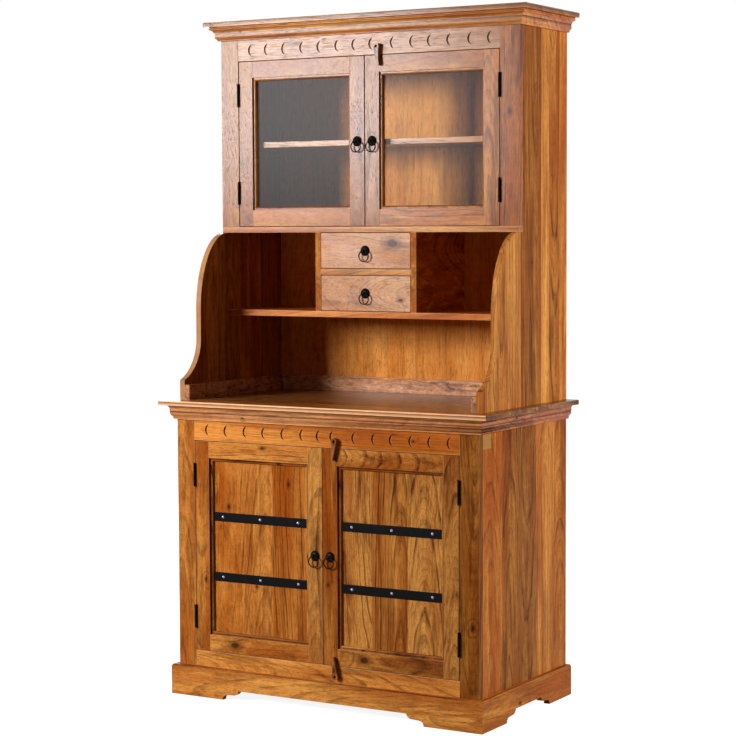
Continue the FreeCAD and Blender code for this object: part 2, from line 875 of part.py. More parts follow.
def nail_holes(y):
    """The holes for the strap nails between a pair of Y coordinates."""
    heights, nails = strap_positions()
    return [hole(nail_shank_radius + nail_play, y, x, z) for z in heights for x in nails]


def straps():
    """Two flat bars, each held to the panel by three domed nails."""
    heights, nails = strap_positions()
    (left, right), _ = door_light("base")
    margin = bead_width + strap_end_play
    panel_face = base_front + bead_setback + bead_thickness
    y = (panel_face - strap_thickness, panel_face)
    pieces = []
    for z in heights:
        bar = board((left + margin, right - margin), y, (z - strap_height / 2, z + strap_height / 2))
        pieces.append(bar.cut(nail_holes(y)))
    for z in heights:
        for x in nails:
            sizes = (strap_nail_head_radius, strap_nail_head_height, nail_shank_radius, nail_shank_length)
            pieces.append(nail(x, y[0], z, *sizes))
    return pieces


def build_doors():
    """Both pairs of doors: each right-hand door is built and mirrored for the left."""
    panel_face = base_front + bead_setback + bead_thickness
    panel = pane("base", panel_thickness).cut(nail_holes((panel_face, panel_face + panel_thickness)))
    nodes = {
        "upper_door_{}_frame": door_frame_pieces("hutch") + front_beads("hutch") + rear_beads(),
        "upper_door_{}_glass": [pane("hutch", glass_thickness)],
        "upper_door_{}_hardware": door_hardware("hutch"),
        "lower_door_{}_frame": door_frame_pieces("base") + front_beads("base"),
        "lower_door_{}_panel": [panel],
        "lower_door_{}_straps": straps(),
        "lower_door_{}_hardware": door_hardware("base"),
    }
    for name, pieces in nodes.items():
        save(name.format("right"), *pieces)
        save(name.format("left"), *[mirrored(piece) for piece in pieces])


def door_hardware(unit):
    """The door halves of the hinges and the rosette of the ring pull."""
    halves = [door_hinge(unit, z) for z in hinge_heights(unit)]
    return halves + [rosette(pull_x, front_of[unit], sum(door_z(unit)) / 2)]


# ---------------------------------------------------------------- ring pulls
def rosette_hole(x, front, z):
    """The hole for the shank of a rosette."""
    return hole(rosette_shank_radius + nail_play, (front, front + rosette_shank_length), x, z)


def rosette(x, front, z):
    """A domed back plate with an eye for the ring and a shank into the wood."""
    dome_radius = rosette_radius - rosette_rim_width
    profile = dome(dome_radius, rosette_rim_height, rosette_height - rosette_rim_height, dome_steps)
    profile += [
        (rosette_radius, rosette_rim_height),
        (rosette_radius, 0),
        (rosette_shank_radius, 0),
        (rosette_shank_radius, -rosette_shank_length),
        (0, -rosette_shank_length),
    ]
    plate = turned(profile, rosette_sides, x, front, z)
    eye_end = Vector(x - eye_width / 2, front - eye_reach, z)
    eye = bar(eye_radius, eye_end, Y_AXIS, Z_AXIS, X_AXIS * eye_width)
    neck_x = (x - eye_width / 2, x + eye_width / 2)
    neck_half = eye_radius * math.sin(math.pi / hardware_sides)
    neck = board(neck_x, (front - eye_reach, front), (z - neck_half, z + neck_half))
    return fused(plate, eye, neck).cut(bore(eye_bore_radius, eye_end, Y_AXIS, Z_AXIS, X_AXIS * eye_width))


def ring(x, front, z):
    """A ring that hangs in the eye of a rosette, with a flat of its polygon through the eye."""
    angles = [math.tau * index / wire_sides for index in range(wire_sides + 1)]
    profile = [(ring_radius + ring_wire_radius * math.cos(a), ring_wire_radius * math.sin(a)) for a in angles]
    drop = ring_radius * math.cos(math.pi / ring_sides)
    return turned(profile, ring_sides, x, front - eye_reach, z - drop)


def build_rings():
    """The rings of the doors and the drawers."""
    for name, unit in (("upper", "hutch"), ("lower", "base")):
        right = ring(pull_x, front_of[unit], sum(door_z(unit)) / 2)
        save(f"ring_{name}_door_right", right)
        save(f"ring_{name}_door_left", mirrored(right))
    for name in drawer_bay_bottom:
        save(f"ring_drawer_{name}", ring(0, hutch_front, drawer_pull_z(name)))


# ---------------------------------------------------------------- drawers
def drawer_pull_z(name):
    """The height of a drawer's ring pull."""
    return drawer_bay_bottom[name] + bay_height / 2


def build_drawer(name):
    """A drawer: front, two grooved sides, a back and a bottom that slides into the grooves."""
    bay_bottom = drawer_bay_bottom[name]
    outer_x = bay_x - drawer_play
    side_x = outer_x - drawer_side_thickness
    box_front = hutch_front + drawer_front_thickness
    box_back = box_front + drawer_length
    low = bay_bottom + drawer_running_play
    high = low + drawer_side_height
    bottom_z = (low + drawer_bottom_rise, low + drawer_bottom_rise + drawer_bottom_thickness)
    groove_z = (bottom_z[0] - drawer_groove_play, bottom_z[1] + drawer_groove_play)
    groove_x = side_x + drawer_groove_depth
    groove_front = box_front - drawer_groove_depth
    play = drawer_groove_play
    groove = board((-groove_x - play, groove_x + play), (groove_front - play, box_back), groove_z)
    face_z = (bay_bottom + drawer_play, bay_bottom + bay_height - drawer_play)
    face = board((-outer_x, outer_x), (hutch_front, box_front), face_z).cut(groove)
    face = face.cut(rosette_hole(0, hutch_front, drawer_pull_z(name)))
    side = board((side_x, outer_x), (box_front, box_back), (low, high)).cut(groove)
    back = board((-side_x, side_x), (box_back - drawer_side_thickness, box_back), (groove_z[1], high))
    bottom = board((-groove_x, groove_x), (groove_front, box_back), bottom_z)
    save(f"drawer_{name}_front", face)
    save(f"drawer_{name}_box", mirrored(side), side, back, bottom)
    save(f"drawer_{name}_rosette", rosette(0, hutch_front, drawer_pull_z(name)))


# ---------------------------------------------------------------- turn latches
def latch(front, pivot_z, lean, point):
    """A wooden turn latch: lean is the side its tip is on, point is +1 up or -1 down."""
    tip_x = latch_radius - latch_tip_radius
    tip_end = latch_reach - latch_tip_radius
    moves = [
        to(tip_x - latch_tip_radius, tip_end),
        arc_to((tip_x, latch_reach), (tip_x + latch_tip_radius, tip_end)),
        arc_to((latch_radius + latch_bulge, tip_end / 2), (latch_radius, 0)),
        arc_to((0, -latch_radius), (-latch_radius, 0)),
    ]
    face_y = front - latch_face_play
    body = prism(
        (-latch_radius, 0),
        moves,
        lambda u, v: Vector(latch_x + lean * u, face_y, pivot_z + point * v),
        Vector(0, -latch_thickness, 0),
    )
    bore_radius = latch_nail_radius + latch_bore_play
    return body.cut(hole(bore_radius, (face_y - latch_thickness, face_y), latch_x, pivot_z))


def latch_nail(front, pivot_z):
    """The domed nail that a latch turns on."""
    head_y = front - latch_face_play - latch_thickness - latch_face_play
    shank_length = latch_nail_depth + latch_thickness + 2 * latch_face_play
    sizes = (latch_nail_head_radius, latch_nail_head_height, latch_nail_radius, shank_length)
    return nail(latch_x, head_y, pivot_z, *sizes)


def build_latches():
    """The three turn latches and the nails that carry them."""
    save("latch_upper", latch(hutch_front, latch_pivots["hutch"], 1, -1))
    save("latch_lower_top", latch(base_front, latch_pivots["base"], -1, -1))
    save("latch_lower_bottom", latch(base_front, latch_pivots["sill"], -1, 1))
    nails = [
        latch_nail(hutch_front, latch_pivots["hutch"]),
        latch_nail(base_front, latch_pivots["base"]),
        latch_nail(base_front, latch_pivots["sill"]),
    ]
    save("latch_nails", *nails)


# ---------------------------------------------------------------- the whole dresser
os.makedirs("parts", exist_ok=True)
build_plinth()
build_base()
build_counter()
build_hutch()
build_niche()
build_cornice()
build_cleats_and_stops()
build_frame_hinges()
build_doors()
build_rings()
for drawer_name in drawer_bay_bottom:
    build_drawer(drawer_name)
build_latches()
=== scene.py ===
# %% [markdown]
# # A dresser with a hutch, in solid acacia
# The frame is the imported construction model: sixty named nodes on sixteen bodies, in metres.
# Everything made here sits in that frame, so a piece goes exactly where the joiner's drawing puts it.

# %% Load the frame
import bmesh
import bpy
import json
import math
import random
from mathutils import Matrix, Vector

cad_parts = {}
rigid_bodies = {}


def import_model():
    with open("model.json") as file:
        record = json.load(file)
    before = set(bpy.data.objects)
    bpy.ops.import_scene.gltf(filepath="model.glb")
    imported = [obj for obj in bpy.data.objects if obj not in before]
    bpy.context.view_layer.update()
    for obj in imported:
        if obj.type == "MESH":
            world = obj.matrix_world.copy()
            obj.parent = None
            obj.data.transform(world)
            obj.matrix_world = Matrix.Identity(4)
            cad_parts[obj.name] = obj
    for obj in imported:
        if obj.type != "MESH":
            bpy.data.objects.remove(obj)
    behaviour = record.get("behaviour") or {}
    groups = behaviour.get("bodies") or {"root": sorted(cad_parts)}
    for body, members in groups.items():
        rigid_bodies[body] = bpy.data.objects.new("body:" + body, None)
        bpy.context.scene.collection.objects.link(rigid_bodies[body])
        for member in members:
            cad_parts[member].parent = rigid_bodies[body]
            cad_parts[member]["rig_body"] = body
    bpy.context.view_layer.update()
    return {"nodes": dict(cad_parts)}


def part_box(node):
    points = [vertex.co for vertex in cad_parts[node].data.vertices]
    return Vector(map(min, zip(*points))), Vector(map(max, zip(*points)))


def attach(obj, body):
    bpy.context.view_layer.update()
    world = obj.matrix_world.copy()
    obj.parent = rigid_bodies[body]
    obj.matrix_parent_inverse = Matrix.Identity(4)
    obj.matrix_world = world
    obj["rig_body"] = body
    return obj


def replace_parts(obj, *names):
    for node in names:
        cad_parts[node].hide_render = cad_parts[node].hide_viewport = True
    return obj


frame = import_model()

MM = 0.001
X, Y, Z = 0, 1, 2

# %% [markdown]
# ## The camera
# A long lens from the right, a little above the middle of the piece. It could be aimed with a
# Track To constraint, but the three angles of a survey (yaw, pitch, roll) turn into the axes of
# the camera directly, and a matrix built from them leaves nothing for a constraint to change.

# %% Camera
camera_place = Vector((3.1465, -5.3244, 1.4008))
camera_yaw, camera_pitch, camera_roll = (math.radians(a) for a in (30.57, -3.87, -0.25))
sensor_width = 36.0
focal_pixels, image_pixels = 2084.79, 736

heading = Matrix.Rotation(camera_yaw, 3, "Z")
forward = heading @ Vector((0, math.cos(camera_pitch), math.sin(camera_pitch)))
level = heading @ Vector((1, 0, 0))
upright = level.cross(forward)
right = level * math.cos(camera_roll) + upright * math.sin(camera_roll)
up = upright * math.cos(camera_roll) - level * math.sin(camera_roll)

lens = bpy.data.cameras.new("camera")
lens.sensor_width = sensor_width
lens.lens = sensor_width * focal_pixels / image_pixels
camera = bpy.data.objects.new("camera", lens)
camera.matrix_world = Matrix.Translation(camera_place) @ Matrix((right, up, -forward)).transposed().to_4x4()
bpy.context.scene.collection.objects.link(camera)
bpy.context.scene.camera = camera
bpy.context.scene.view_settings.view_transform = "Standard"
print("lens", round(lens.lens, 2), "mm")

# %% [markdown]
# ## Shader maths
# A procedural material is arithmetic on numbers that vary over the surface. Each sum could be
# wired by hand, node by node. It reads better as a formula, so a small class wraps a socket and
# lets Python's operators add the Math nodes.

# %% Sockets that can be added and multiplied
class Varying:
    """A socket whose value varies over a surface. Arithmetic on it adds Math nodes."""

    def __init__(self, recipe, socket):
        self.recipe = recipe
        self.socket = socket

    def sum(self, operation, *values):
        numbered = dict(enumerate(values))
        return self.recipe.node("ShaderNodeMath", {"operation": operation}, numbered)

    def __add__(self, other):
        return self.sum("ADD", self, other)

    def __sub__(self, other):
        return self.sum("SUBTRACT", self, other)

    def __mul__(self, other):
        return self.sum("MULTIPLY", self, other)

    def __truediv__(self, other):
        return self.sum("DIVIDE", self, other)

    def __pow__(self, other):
        return self.sum("POWER", self, other)

    def __rsub__(self, other):
        return self.sum("SUBTRACT", other, self)

    __radd__ = __add__
    __rmul__ = __mul__

    def fraction(self):
        return self.sum("FRACT", self)

    def whole(self):
        return self.sum("FLOOR", self)

    def ramp(self, low, high, start=0.0, end=1.0):
        """A smooth step: start up to low, end from high on."""
        values = {"Value": self, "From Min": low, "From Max": high, "To Min": start, "To Max": end}
        return self.recipe.node("ShaderNodeMapRange", {"interpolation_type": "SMOOTHSTEP"}, values)


# %% A recipe is one material
def paint(code):
    """The linear colour of a six-digit screen colour."""
    shades = (int(code[i:i + 2], 16) / 255 for i in (0, 2, 4))
    return tuple(s / 12.92 if s <= 0.04045 else ((s + 0.055) / 1.055) ** 2.4 for s in shades) + (1.0,)


class Recipe:
    """The nodes of a material or a world, which end in one shader."""

    def __init__(self, owner):
        owner.use_nodes = True
        self.owner = owner
        self.tree = owner.node_tree
        self.tree.nodes.clear()

    def node(self, kind, settings=None, values=None, output=0):
        """Add a node: its settings first, then the values or links of its sockets."""
        node = self.tree.nodes.new(kind)
        for name, setting in (settings or {}).items():
            setattr(node, name, setting)
        for name, value in (values or {}).items():
            if isinstance(value, Varying):
                self.tree.links.new(value.socket, node.inputs[name])
            else:
                node.inputs[name].default_value = value
        return Varying(self, node.outputs[output])

    def mix(self, amount, first, second, blend="MIX"):
        """Blend two colours. Sockets 6 and 7 are the colour pair of a Mix node."""
        settings = {"data_type": "RGBA", "blend_type": blend, "clamp_factor": True}
        return self.node("ShaderNodeMix", settings, {0: amount, 6: first, 7: second}, output=2)

    def attribute(self, name):
        return self.node("ShaderNodeAttribute", {"attribute_name": name}, output="Vector")

    def stretched(self, vector, scales):
        return self.node("ShaderNodeVectorMath", {"operation": "MULTIPLY"}, {0: vector, 1: scales})

    def split(self, vector):
        axes = [self.node("ShaderNodeSeparateXYZ", None, {0: vector}, output=axis) for axis in "XYZ"]
        return axes

    def noise(self, vector, scales, detail=2.0, roughness=0.5, output=0):
        values = {"Vector": self.stretched(vector, scales), "Scale": 1.0, "Detail": detail}
        return self.node("ShaderNodeTexNoise", None, values | {"Roughness": roughness}, output)

    def bump(self, height, depth, normal=None):
        values = {"Height": height, "Distance": depth, "Strength": 1.0}
        if normal:
            values["Normal"] = normal
        return self.node("ShaderNodeBump", None, values)

    def surface(self, **values):
        """The Principled shader, with sockets named in Python's way."""
        named = {name.replace("_", " "): value for name, value in values.items()}
        return self.node("ShaderNodeBsdfPrincipled", None, named)

    def finish(self, shader, end="ShaderNodeOutputMaterial"):
        output = self.tree.nodes.new(end)
        self.tree.links.new(shader.socket, output.inputs["Surface"])
        return self.owner


def material(name):
    return Recipe(bpy.data.materials.new(name))


# %% [markdown]
# ## Acacia
# A board is a slice through a trunk, so its figure is a slice through nested cones: straight
# lines on a board cut near the pith's plane, and arches on one cut across it. A flat wood
# texture could fake one view of that. Here every board carries its own trunk as an attribute,
# "grain": two distances from the pith and one along the trunk, so faces, edges and ends agree.
# A second attribute, "tone", is the board's lightness, redness and strength of figure, because a
# joiner never gets two boards alike; some boards are also set darker there as painted shade. A third
# attribute marks the arrises, pale from wear and as a painted highlight, the hollows of mouldings,
# darkened as painted shade, and a let-in patch.
#
# The boards aren't all finished alike. The upper front, the drawer fronts and the cornice are
# waxed and mirror the lamp; the sides, the lower front and the plinth are dry. A mask could mix
# two glosses in one material, but one recipe called once for each finish is plainer, and it
# keeps the specular level on the shader's own socket.
# It is set low, so that a wholly white room doesn't veil the dark wood.

# %% Wood recipe
def wood(name, pale, body, brown, ring_width=0.0075, veins=1.0, curl=1.0, mottled=0.0,
         gloss=0.22, shine=0.18, edge_wear_and_highlight=0.6):
    """Acacia from three colours: pale early wood, the body of the board and the brown of its figure."""
    recipe = material(name)
    grain = recipe.attribute("grain")
    light, red, figure = recipe.split(recipe.attribute("tone"))
    edge, hollow_shade, patch = recipe.split(recipe.attribute("wear_and_painted_light"))

    branch = recipe.attribute("branch")
    knot_size = recipe.split(branch)[2]
    from_knot = recipe.stretched(branch, (1.0, 0.62, 0.0))
    from_knot = recipe.node("ShaderNodeVectorMath", {"operation": "LENGTH"}, {0: from_knot}, output="Value")
    from_knot = from_knot / knot_size * (0.7 + recipe.noise(grain, (130, 130, 60), detail=2.0) * 0.6)
    swirl = from_knot.ramp(0.6, 6.0, 1.0, 0.0)
    knot = from_knot.ramp(0.55, 1.1, 1.0, 0.0)
    halo = from_knot.ramp(1.0, 2.6, 1.0, 0.0)

    wander = recipe.noise(grain, (4, 4, 1.9), detail=1.0)
    bend = recipe.noise(grain, (14, 14, 5.0), detail=2.0)
    quiver = recipe.noise(grain, (60, 60, 9), detail=2.0)
    across = recipe.stretched(grain, (1.0, 1.0, 0.0))
    radius = recipe.node("ShaderNodeVectorMath", {"operation": "LENGTH"}, {0: across}, output="Value")
    age = (radius + wander * 0.045) / ring_width + bend * (1.5 * curl) + quiver * (0.55 * curl) + swirl * 2.2
    year = age.fraction()
    strength = recipe.node("ShaderNodeTexWhiteNoise", {"noise_dimensions": "1D"}, {"W": age.whole()})
    strength = strength.ramp(0.15, 1.0, 0.15, 1.0)
    broken = recipe.noise(grain, (55, 55, 8), detail=2.0).ramp(0.38, 0.62, 0.4, 1.0)
    late = year.ramp(0.30, 0.88) * year.ramp(0.93, 1.0, 1.0, 0.0) * strength * broken
    thin = (age * 3.7).fraction().ramp(0.70, 0.98) * 0.35

    fine = recipe.noise(grain, (420, 420, 5), detail=3.0, roughness=0.65)
    streak = recipe.noise(grain, (95, 95, 1.5), detail=4.0, roughness=0.65).ramp(0.46, 0.70)
    sapwood = recipe.noise(grain, (34, 34, 0.9), detail=3.0, roughness=0.6).ramp(0.55, 0.66)
    cloud = recipe.noise(grain, (13, 13, 1.3), detail=3.0)
    smoke = recipe.noise(grain, (22, 22, 2.2), detail=4.0, roughness=0.62).ramp(0.52, 0.66)
    fleck = recipe.noise(grain, (240, 240, 34), detail=3.0, roughness=0.6).ramp(0.54, 0.68)
    pore = recipe.noise(grain, (800, 800, 16), detail=1.0).ramp(0.58, 0.70)
    # The ripple is a real bump in the height; in the lightness it is painted sheen of the ripple figure.
    ripple_figure_and_sheen = recipe.noise(grain, (12, 12, 70), detail=1.0)
    speckle = recipe.noise(grain, (120, 120, 45), detail=5.0, roughness=0.75)

    colour = recipe.mix(cloud.ramp(0.32, 0.68), body, pale)
    colour = recipe.mix(sapwood * 0.55, colour, paint("e3a04c"))
    colour = recipe.mix(smoke * figure * 0.75, colour, paint("6e3312"))
    colour = recipe.mix((late * veins + thin) * figure, colour, brown)
    colour = recipe.mix(streak * (0.25 + figure * 0.25), colour, brown)
    colour = recipe.mix(fleck * 0.38, colour, paint("5e2a10"))
    colour = recipe.mix(pore * 0.45, colour, brown)
    colour = recipe.mix(speckle.ramp(0.50, 0.66) * mottled, colour, paint("4a2c22"))
    colour = recipe.mix(speckle.ramp(0.36, 0.46, 1.0, 0.0) * mottled, colour, paint("e0b08c"))
    colour = recipe.mix(halo * 0.45 + knot * 0.45, colour, paint("35190f"))
    # Pale arrises and front edges: partly wear, partly a painted highlight.
    colour = recipe.mix(edge * edge_wear_and_highlight, colour, paint("e6ae7c"))
    # Hollows between moulding members darkened: mostly painted shade, partly built-up finish.
    colour = recipe.mix(hollow_shade * 0.9, colour, paint("2a1208"))
    colour = recipe.mix(patch * 0.75, colour, paint("ad8648"))
    shift = {"Hue": 0.5 - red * 0.012, "Saturation": 1.0 + red * 0.05, "Fac": 1.0, "Color": colour}
    # The ripple term in the lightness is painted sheen.
    shift["Value"] = 1.0 + light * 0.34 + (ripple_figure_and_sheen - 0.5) * 0.20 + (fine - 0.5) * 0.60
    colour = recipe.node("ShaderNodeHueSaturation", None, shift)

    height = late * -0.25 + pore * -0.6 + ripple_figure_and_sheen * 0.3
    return recipe.finish(recipe.surface(
        Base_Color=colour,
        Roughness=gloss + pore * 0.12 + (cloud - 0.5) * 0.10 - edge * 0.04,
        Normal=recipe.bump(height, 0.00012),
        Specular_IOR_Level=shine,
    ))


acacia = wood("acacia", paint("da9142"), paint("b66226"), paint("451a08"))
dry_wood = wood("dry_acacia", paint("d28c42"), paint("aa5e24"), paint("42190a"), gloss=0.3, shine=0.02)
# A paler, pinker acacia for the frieze and drawer fronts: partly their own colour, partly painted sheen.
rosy_and_sheen = wood("rosy_acacia_and_sheen", paint("e8b288"), paint("d29262"), paint("6a3a26"), ring_width=0.005)
strip_wood = wood("strip_acacia", paint("e2a468"), paint("c47c44"), paint("5c2c16"), ring_width=0.005,
                  shine=0.08)
counter_wood = wood("counter_acacia", paint("a06a36"), paint("7c4820"), paint("3c1b0b"), shine=0.10,
                    edge_wear_and_highlight=0.95)
burl = wood("burl_acacia", paint("dca476"), paint("b47850"), paint("38201a"), curl=5.0, mottled=0.65)
veneer = wood("back_veneer", paint("f0a452"), paint("d88434"), paint("703c16"), ring_width=0.004, veins=0.6,
              gloss=0.5, shine=0.03)
print("wood recipes:", acacia.name, counter_wood.name, veneer.name)

# %% [markdown]
# ## Boards
# The drawing's boards are sharp prisms, and a real board never is: its arrises are sanded, and
# that thin rounded line is what catches the light. A Bevel modifier on a whole node would treat
# every board alike and leave no room for a grain of its own. So each node is taken apart into
# boards, each board is cleaned, bevelled and given its trunk, and the boards of a node are put
# back into one piece that stands for it.

# %% Take a node apart into its solids
def solids_of(node):
    """Each solid of a node as a bmesh of its own. A solid ends where its shell closes."""
    mesh = frame["nodes"][node].data
    place = [tuple(round(c, 6) for c in vertex.co) for vertex in mesh.vertices]
    unmatched, group, groups = set(), [], []
    for face in mesh.polygons:
        corners = [place[index] for index in face.vertices]
        for edge in zip(corners, corners[1:] + corners[:1]):
            if edge[::-1] in unmatched:
                unmatched.remove(edge[::-1])
            else:
                unmatched.add(edge)
        group.append(face.index)
        if not unmatched:
            groups.append(set(group))
            group = []
    whole = bmesh.new()
    whole.from_mesh(mesh)
    solids = []
    for wanted in groups:
        solid = whole.copy()
        spare = [face for face in solid.faces if face.index not in wanted]
        bmesh.ops.delete(solid, geom=spare, context="FACES")
        bmesh.ops.remove_doubles(solid, verts=solid.verts, dist=2e-6)
        solids.append(solid)
    whole.free()
    return solids


def extent(solid):
    """Lowest and highest corner of a solid."""
    points = [vertex.co for vertex in solid.verts]
    low = Vector([min(p[axis] for p in points) for axis in range(3)])
    high = Vector([max(p[axis] for p in points) for axis in range(3)])
    return low, high


counts = {node: len(solids_of(node)) for node in ("base_stiles", "upper_door_left_frame", "cornice_moulding")}
print("solids:", counts)

# %% Sand the arrises
flat_angle = math.radians(0.6)
arris_angle = math.radians(32)


def sanded(solid, width, shortest):
    """Join the flat triangles and round every long outward edge by width. Marks the rounded faces."""
    bmesh.ops.dissolve_limit(solid, angle_limit=flat_angle, verts=solid.verts, edges=solid.edges)
    edge_mark = solid.faces.layers.int.new("rounded")
    sharp = [
        edge for edge in solid.edges
        if edge.calc_face_angle_signed(0) > arris_angle and edge.calc_length() > shortest
    ]
    made = bmesh.ops.bevel(
        solid, geom=sharp, offset=width, offset_type="OFFSET", segments=2, profile=0.5,
        affect="EDGES", clamp_overlap=True, material=-1,
    )
    for face in made["faces"]:
        face[edge_mark] = 1
    return solid


# %% Give a board its trunk
def trunk_of(width, length, tone, knot, draw):
    """Where the pith lies from the middle of a plank, how it leans, and what grew on it."""
    flat_sawn = draw.random() < 0.65
    deep = draw.uniform(0.03, 0.10)
    lean = min(0.3, draw.uniform(0.35, 0.9) * (deep - 0.01) / (length / 2)) * draw.choice((-1, 1))
    if knot is None and draw.random() < 0.3:
        knot = draw.uniform(-0.3, 0.3) * width, draw.uniform(-0.4, 0.4) * length, draw.uniform(2, 5) * MM
    return {
        "pith": (draw.uniform(-0.3, 0.3) * width, deep) if flat_sawn else (draw.choice((-0.12, 0.12)), 0.05),
        "lean": (draw.uniform(-0.03, 0.03), lean),
        "offset": draw.uniform(0, 40),
        "tone": tone or (draw.uniform(-0.4, 0.4), draw.uniform(-0.6, 0.6), draw.uniform(0.4, 1.0)),
        "knot": knot or (10.0, 10.0, 1 * MM),
    }


def narrow(face):
    """True for a strip, such as a member of a moulding."""
    return face.calc_area() < 0.012 * max(edge.calc_length() for edge in face.edges)


def lay_grain(solid, along, seams, tones, knots, draw):
    """Write the grain, tone, wear, painted highlight and shade, and knot of each face corner. Seams cut a
    panel into glued planks.
    """
    low, high = extent(solid)
    size = high - low
    along = size[:].index(max(size)) if along is None else along
    depth = min((axis for axis in range(3) if axis != along), key=lambda axis: size[axis])
    across = 3 - along - depth
    for seam in seams:
        plane = {"plane_co": Vector([seam if axis == across else 0 for axis in range(3)])}
        plane["plane_no"] = Vector([1.0 if axis == across else 0.0 for axis in range(3)])
        everything = solid.verts[:] + solid.edges[:] + solid.faces[:]
        bmesh.ops.bisect_plane(solid, geom=everything, dist=1e-7, **plane)
    cuts = [low[across]] + sorted(seams) + [high[across]]
    trunks = []
    for index, (start, end) in enumerate(zip(cuts, cuts[1:])):
        tone = tones[index % len(tones)] if tones else None
        trunk = trunk_of(end - start, size[along], tone, knots.get(index), draw)
        trunks.append(trunk | {"middle": (start + end) / 2})
    grain, tone, wear_and_painted_light, branch = (
        solid.loops.layers.float_vector.new(name) for name in ("grain", "tone", "wear_and_painted_light", "branch"))
    rounded, patched = (solid.faces.layers.int[name] for name in ("rounded", "patched"))
    # Corners of inward edges: on slim moulding members the shader darkens them as painted shade.
    hollow_shade_verts = {vert for edge in solid.edges if edge.calc_face_angle_signed(0) < -0.3 for vert in edge.verts}
    middle_along, middle_depth = (low[along] + high[along]) / 2, (low[depth] + high[depth]) / 2
    for face in solid.faces:
        here = face.calc_center_median()[across]
        trunk = trunks[sum(here > cut for cut in cuts[1:-1])]
        slim = narrow(face)
        for loop in face.loops:
            point = loop.vert.co
            run, aside = point[along] - middle_along, point[across] - trunk["middle"]
            wide = aside - trunk["pith"][0] - trunk["lean"][0] * run
            deep = point[depth] - middle_depth + trunk["pith"][1] - trunk["lean"][1] * run
            loop[grain] = (wide, deep, run + trunk["offset"])
            loop[tone] = trunk["tone"]
            loop[wear_and_painted_light] = (face[rounded], slim and loop.vert in hollow_shade_verts, face[patched])
            loop[branch] = (aside - trunk["knot"][0], run - trunk["knot"][1], trunk["knot"][2])


# %% Put the boards back as one piece
def piece_from(solids, name, body, finish):
    """One object from several bmeshes, riding on a body, at the origin."""
    mesh = bpy.data.meshes.new(name)
    whole = bmesh.new()
    for solid in solids:
        solid.to_mesh(mesh)
        solid.free()
        whole.from_mesh(mesh)
    whole.to_mesh(mesh)
    whole.free()
    for polygon in mesh.polygons:
        polygon.use_smooth = True
    mesh.set_sharp_from_angle(angle=math.radians(40))
    mesh.materials.append(finish)
    piece = bpy.data.objects.new(name, mesh)
    bpy.context.scene.collection.objects.link(piece)
    shading = piece.modifiers.new("even_shading", "WEIGHTED_NORMAL")
    shading.keep_sharp = True
    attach(piece, body)
    return piece


def let_in(solid, low, high):
    """Mark the part of a board's face between two corners (y, z) as a pale patch."""
    for axis, bounds in ((Y, (low[0], high[0])), (Z, (low[1], high[1]))):
        for bound in bounds:
            plane = [Vector([amount if a == axis else 0 for a in range(3)]) for amount in (bound, 1.0)]
            bmesh.ops.bisect_plane(solid, geom=solid.verts[:] + solid.edges[:] + solid.faces[:], dist=1e-7,
                                   plane_co=plane[0], plane_no=plane[1])
    for face in solid.faces:
        middle = face.calc_center_median()
        if face.normal.x > 0.9 and low[0] < middle.y < high[0] and low[1] < middle.z < high[1]:
            face[solid.faces.layers.int["patched"]] = 1


def dress(node, finish, along=None, seams=(), tones=(), knots=None, arris=0.9 * MM, shortest=4 * MM,
          painted_front_highlight=False, patch=None):
    """Stand a sanded, grained piece in the place of a wooden node. Tones and knots go by plank or board."""
    solids = solids_of(node)
    chosen = knots or {}
    for index, solid in enumerate(solids):
        sanded(solid, arris, shortest)
        # Front faces of a lip or front edge are marked with the arrises, so the shader paints them pale: a
        # painted highlight.
        for face in solid.faces:
            if painted_front_highlight and face.normal.y < -0.1 and abs(face.normal.x) < 0.5:
                face[solid.faces.layers.int["rounded"]] = 1
        solid.faces.layers.int.new("patched")
        if patch:
            let_in(solid, *patch)
        draw = random.Random(f"{node} {index}")
        if seams:
            lay_grain(solid, along, seams, tones, chosen, draw)
        else:
            tone = [board_tones_and_shade[node, index]] if (node, index) in board_tones_and_shade else []
            lay_grain(solid, along, seams, tone, {0: chosen[index]} if index in chosen else {}, draw)
    body = frame["nodes"][node]["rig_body"]
    piece = piece_from(solids, f"{node}_wood", body, finish)
    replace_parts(piece, node)
    return piece
